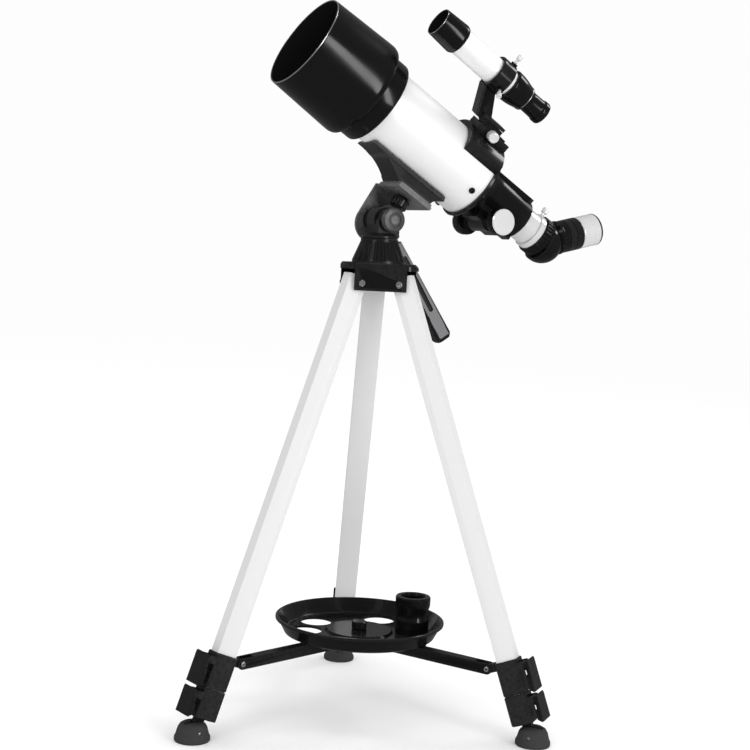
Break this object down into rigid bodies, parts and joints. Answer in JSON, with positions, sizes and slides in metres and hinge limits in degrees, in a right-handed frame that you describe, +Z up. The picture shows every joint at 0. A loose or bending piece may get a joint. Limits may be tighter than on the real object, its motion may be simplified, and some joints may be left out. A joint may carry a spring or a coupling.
{
  "type": "telescope on tripod",
  "caption": "Refractor telescope with finder, rack focuser and 45 degree diagonal on a pan and tilt head, on a folding tripod with telescoping legs and an accessory tray.",
  "frame": {"origin": "middle of the whole object's footprint at floor level", "axes": "+Z up; the telescope looks towards -Y and up at 31.5 degrees; the tilt axis lies along X"},
  "size_m": [0.3528, 0.4602, 0.693],
  "materials": {
    "gloss_black": "polished moulded plastic",
    "saddle_black": "satin moulded plastic",
    "bracket_grey": "satin grey paint",
    "white_enamel": "gloss white enamel",
    "leg_white": "satin white coating on aluminium tube",
    "chrome": "bright plated",
    "rivet_steel": "plain steel",
    "black_screws": "blackened",
    "lens_glass": "polished, coated",
    "clamp_black": "moulded nylon",
    "foot_rubber": "moulded rubber"
  },
  "bodies": {
    "stand": {"tripod_hub": "gloss_black", "hub_rivets": "rivet_steel", "head_base": "gloss_black"},
    "pan_head": {"tilt_body": "gloss_black"},
    "telescope": {"platform": "bracket_grey", "saddle": "saddle_black", "tube_screws": "black_screws", "main_tube": "white_enamel", "lens_cell": "gloss_black", "objective_lens": "lens_glass", "focuser_body": "gloss_black"},
    "handle": {"pan_handle": "gloss_black"},
    "platform_screw": {"platform_screw": "gloss_black"},
    "dew_shield": {"dew_shield": "gloss_black"},
    "drawtube": {"drawtube": "chrome"},
    "focus_knobs": {"focus_shaft": "chrome", "focus_knobs": "gloss_black"},
    "drawtube_screw": {"drawtube_screw": "chrome"},
    "lock_ring": {"lock_ring": "gloss_black"},
    "diagonal": {"diagonal_body": "gloss_black", "diagonal_prism": "lens_glass"},
    "eyepiece": {"eyepiece_body": "chrome"},
    "finder": {"finder_bracket": "gloss_black", "finder_tube": "white_enamel", "finder_hood": "gloss_black", "finder_lens": "lens_glass", "finder_screws": "chrome"},
    "finder_eyepiece": {"finder_eyepiece": "gloss_black"},
    "shoe_screw": {"shoe_screw": "chrome"},
    "tray": {"spreader_hub": "gloss_black", "accessory_tray": "gloss_black"},
    "tray_knob": {"tray_knob": "gloss_black"},
    "spare_eyepiece": {"spare_eyepiece": "gloss_black"},
    "left_leg": {"left_leg_upper": "leg_white", "left_upper_clamp": "clamp_black"},
    "left_upper_lever": {"left_upper_lever": "clamp_black"},
    "left_middle": {"left_leg_middle": "leg_white", "left_lower_clamp": "clamp_black"},
    "left_lower_lever": {"left_lower_lever": "clamp_black"},
    "left_lower": {"left_leg_lower": "leg_white"},
    "left_foot": {"left_foot": "foot_rubber"},
    "left_arm": {"left_spreader_arm": "clamp_black"},
    "right_leg": {"right_leg_upper": "leg_white", "right_upper_clamp": "clamp_black"},
    "right_upper_lever": {"right_upper_lever": "clamp_black"},
    "right_middle": {"right_leg_middle": "leg_white", "right_lower_clamp": "clamp_black"},
    "right_lower_lever": {"right_lower_lever": "clamp_black"},
    "right_lower": {"right_leg_lower": "leg_white"},
    "right_foot": {"right_foot": "foot_rubber"},
    "right_arm": {"right_spreader_arm": "clamp_black"},
    "back_leg": {"back_leg_upper": "leg_white", "back_upper_clamp": "clamp_black"},
    "back_upper_lever": {"back_upper_lever": "clamp_black"},
    "back_middle": {"back_leg_middle": "leg_white", "back_lower_clamp": "clamp_black"},
    "back_lower_lever": {"back_lower_lever": "clamp_black"},
    "back_lower": {"back_leg_lower": "leg_white"},
    "back_foot": {"back_foot": "foot_rubber"},
    "back_arm": {"back_spreader_arm": "clamp_black"}
  },
  "joints": [
    {"name": "pan", "type": "hinge", "parent": "stand", "child": "pan_head", "pos_m": [0.01347, -0.02872, 0.46], "axis": [0, 0, 1], "continuous": true},
    {"name": "tilt", "type": "hinge", "parent": "pan_head", "child": "telescope", "pos_m": [0.01347, -0.02372, 0.491], "axis": [-1, 0, 0], "range_deg": [-45, 0]},
    {"name": "handle_twist", "type": "hinge", "parent": "telescope", "child": "handle", "pos_m": [-0.00853, 0.00127, 0.46801], "axis": [0, 0.5381, -0.8429], "range_deg": [0, 30]},
    {"name": "platform_screw_turn", "type": "hinge", "parent": "telescope", "child": "platform_screw", "pos_m": [0.01347, -0.00612, 0.51242], "axis": [0, 0.5225, 0.8526], "continuous": true},
    {"name": "dew_shield_slide", "type": "slide", "parent": "telescope", "child": "dew_shield", "axis": [0, -0.8526, 0.5225], "range_m": [0, 0.012]},
    {"name": "focus_travel", "type": "slide", "parent": "telescope", "child": "drawtube", "axis": [0, 0.8526, -0.5225], "range_m": [-0.0155, 0.03]},
    {"name": "focus_turn", "type": "hinge", "parent": "telescope", "child": "focus_knobs", "pos_m": [0.01347, 0.08832, 0.49524], "axis": [1, 0, 0], "range_deg": [-360, 190]},
    {"name": "drawtube_screw_turn", "type": "hinge", "parent": "drawtube", "child": "drawtube_screw", "pos_m": [0.01694, 0.15745, 0.50565], "axis": [0.1736, 0.5146, 0.8397], "continuous": true},
    {"name": "lock_ring_turn", "type": "hinge", "parent": "drawtube", "child": "lock_ring", "pos_m": [0.01347, 0.15483, 0.48416], "axis": [0, 0.8526, -0.5225], "range_deg": [0, 30]},
    {"name": "diagonal_swivel", "type": "hinge", "parent": "drawtube", "child": "diagonal", "pos_m": [0.01347, 0.15483, 0.48416], "axis": [0, 0.8526, -0.5225], "continuous": true},
    {"name": "eyepiece_slide", "type": "slide", "parent": "diagonal", "child": "eyepiece", "axis": [0, 0.9724, 0.2334], "range_m": [0, 0.018]},
    {"name": "finder_slide", "type": "slide", "parent": "telescope", "child": "finder", "axis": [0, 0.8526, -0.5225], "range_m": [0, 0.03]},
    {"name": "finder_focus", "type": "hinge", "parent": "finder", "child": "finder_eyepiece", "pos_m": [0.05387, 0.09608, 0.62178], "axis": [0, 0.8526, -0.5225], "range_deg": [-90, 90]},
    {"name": "shoe_screw_turn", "type": "hinge", "parent": "telescope", "child": "shoe_screw", "pos_m": [0.04752, 0.07042, 0.5799], "axis": [0.9063, -0.2208, -0.3603], "continuous": true},
    {"name": "tray_lift", "type": "slide", "parent": "stand", "child": "tray", "axis": [0, 0, 1], "range_m": [0, 0.05102]},
    {"name": "tray_knob_turn", "type": "hinge", "parent": "tray", "child": "tray_knob", "pos_m": [0.01347, -0.02872, 0.09], "axis": [0, 0, 1], "continuous": true},
    {"name": "spare_eyepiece_lift", "type": "slide", "parent": "tray", "child": "spare_eyepiece", "axis": [0, 0, 1], "range_m": [0, 0.05]},
    {"name": "left_leg_fold", "type": "hinge", "parent": "stand", "child": "left_leg", "pos_m": [0.01788, -0.05823, 0.42912], "axis": [0.989, 0.1478, 0], "range_deg": [0, 3]},
    {"name": "left_middle_slide", "type": "slide", "parent": "left_leg", "child": "left_middle", "axis": [0.0506, -0.3388, -0.9395], "range_m": [0, 0.3]},
    {"name": "left_lower_slide", "type": "slide", "parent": "left_middle", "child": "left_lower", "axis": [0.0506, -0.3388, -0.9395], "range_m": [0, 0.3]},
    {"name": "left_upper_lever_flip", "type": "hinge", "parent": "left_leg", "child": "left_upper_lever", "pos_m": [0.03905, -0.19986, 0.07633], "axis": [-0.989, -0.1478, 0], "range_deg": [0, 75]},
    {"name": "left_lower_lever_flip", "type": "hinge", "parent": "left_middle", "child": "left_lower_lever", "pos_m": [0.04075, -0.21124, 0.04476], "axis": [-0.989, -0.1478, 0], "range_deg": [0, 75]},
    {"name": "left_foot_tilt", "type": "hinge", "parent": "left_lower", "child": "left_foot", "pos_m": [0.04101, -0.21297, 0.0095], "axis": [0.989, 0.1478, 0], "range_deg": [-6, 6]},
    {"name": "left_arm_swing", "type": "hinge", "parent": "tray", "child": "left_arm", "pos_m": [0.01702, -0.05246, 0.074], "axis": [0.989, 0.1478, 0], "range_deg": [0, 30.3]},
    {"name": "right_leg_fold", "type": "hinge", "parent": "stand", "child": "right_leg", "pos_m": [0.03682, -0.01014, 0.42912], "axis": [-0.6225, 0.7826, 0], "range_deg": [0, 3]},
    {"name": "right_middle_slide", "type": "slide", "parent": "right_leg", "child": "right_middle", "axis": [0.2681, 0.2132, -0.9395], "range_m": [0, 0.3]},
    {"name": "right_lower_slide", "type": "slide", "parent": "right_middle", "child": "right_lower", "axis": [0.2681, 0.2132, -0.9395], "range_m": [0, 0.3]},
    {"name": "right_upper_lever_flip", "type": "hinge", "parent": "right_leg", "child": "right_upper_lever", "pos_m": [0.14889, 0.079, 0.07633], "axis": [0.6225, -0.7826, 0], "range_deg": [0, 75]},
    {"name": "right_lower_lever_flip", "type": "hinge", "parent": "right_middle", "child": "right_lower_lever", "pos_m": [0.1579, 0.08616, 0.04476], "axis": [0.6225, -0.7826, 0], "range_deg": [0, 75]},
    {"name": "right_foot_tilt", "type": "hinge", "parent": "right_lower", "child": "right_foot", "pos_m": [0.15927, 0.08725, 0.0095], "axis": [-0.6225, 0.7826, 0], "range_deg": [-6, 6]},
    {"name": "right_arm_swing", "type": "hinge", "parent": "tray", "child": "right_arm", "pos_m": [0.03225, -0.01378, 0.074], "axis": [-0.6225, 0.7826, 0], "range_deg": [0, 30.3]},
    {"name": "back_leg_fold", "type": "hinge", "parent": "stand", "child": "back_leg", "pos_m": [-0.01429, -0.01778, 0.42912], "axis": [-0.3665, -0.9304, 0], "range_deg": [0, 3]},
    {"name": "back_middle_slide", "type": "slide", "parent": "back_leg", "child": "back_middle", "axis": [-0.3187, 0.1255, -0.9395], "range_m": [0, 0.3]},
    {"name": "back_lower_slide", "type": "slide", "parent": "back_middle", "child": "back_lower", "axis": [-0.3187, 0.1255, -0.9395], "range_m": [0, 0.3]},
    {"name": "back_upper_lever_flip", "type": "hinge", "parent": "back_leg", "child": "back_upper_lever", "pos_m": [-0.14753, 0.0347, 0.07633], "axis": [0.3665, 0.9304, 0], "range_deg": [0, 75]},
    {"name": "back_lower_lever_flip", "type": "hinge", "parent": "back_middle", "child": "back_lower_lever", "pos_m": [-0.15823, 0.03892, 0.04476], "axis": [0.3665, 0.9304, 0], "range_deg": [0, 75]},
    {"name": "back_foot_tilt", "type": "hinge", "parent": "back_lower", "child": "back_foot", "pos_m": [-0.15987, 0.03956, 0.0095], "axis": [-0.3665, -0.9304, 0], "range_deg": [-6, 6]},
    {"name": "back_arm_swing", "type": "hinge", "parent": "tray", "child": "back_arm", "pos_m": [-0.00886, -0.01992, 0.074], "axis": [-0.3665, -0.9304, 0], "range_deg": [0, 30.3]}
  ],
  "couplings": [
    {"joint": "focus_turn", "follows": "focus_travel", "rad_per_m": -208.33},
    {"joint": "left_leg_fold", "follows": "tray_lift", "rad_per_m": 1.0262},
    {"joint": "left_arm_swing", "follows": "tray_lift", "rad_per_m": 10.343},
    {"joint": "right_leg_fold", "follows": "tray_lift", "rad_per_m": 1.0262},
    {"joint": "right_arm_swing", "follows": "tray_lift", "rad_per_m": 10.343},
    {"joint": "back_leg_fold", "follows": "tray_lift", "rad_per_m": 1.0262},
    {"joint": "back_arm_swing", "follows": "tray_lift", "rad_per_m": 10.343}
  ]
}
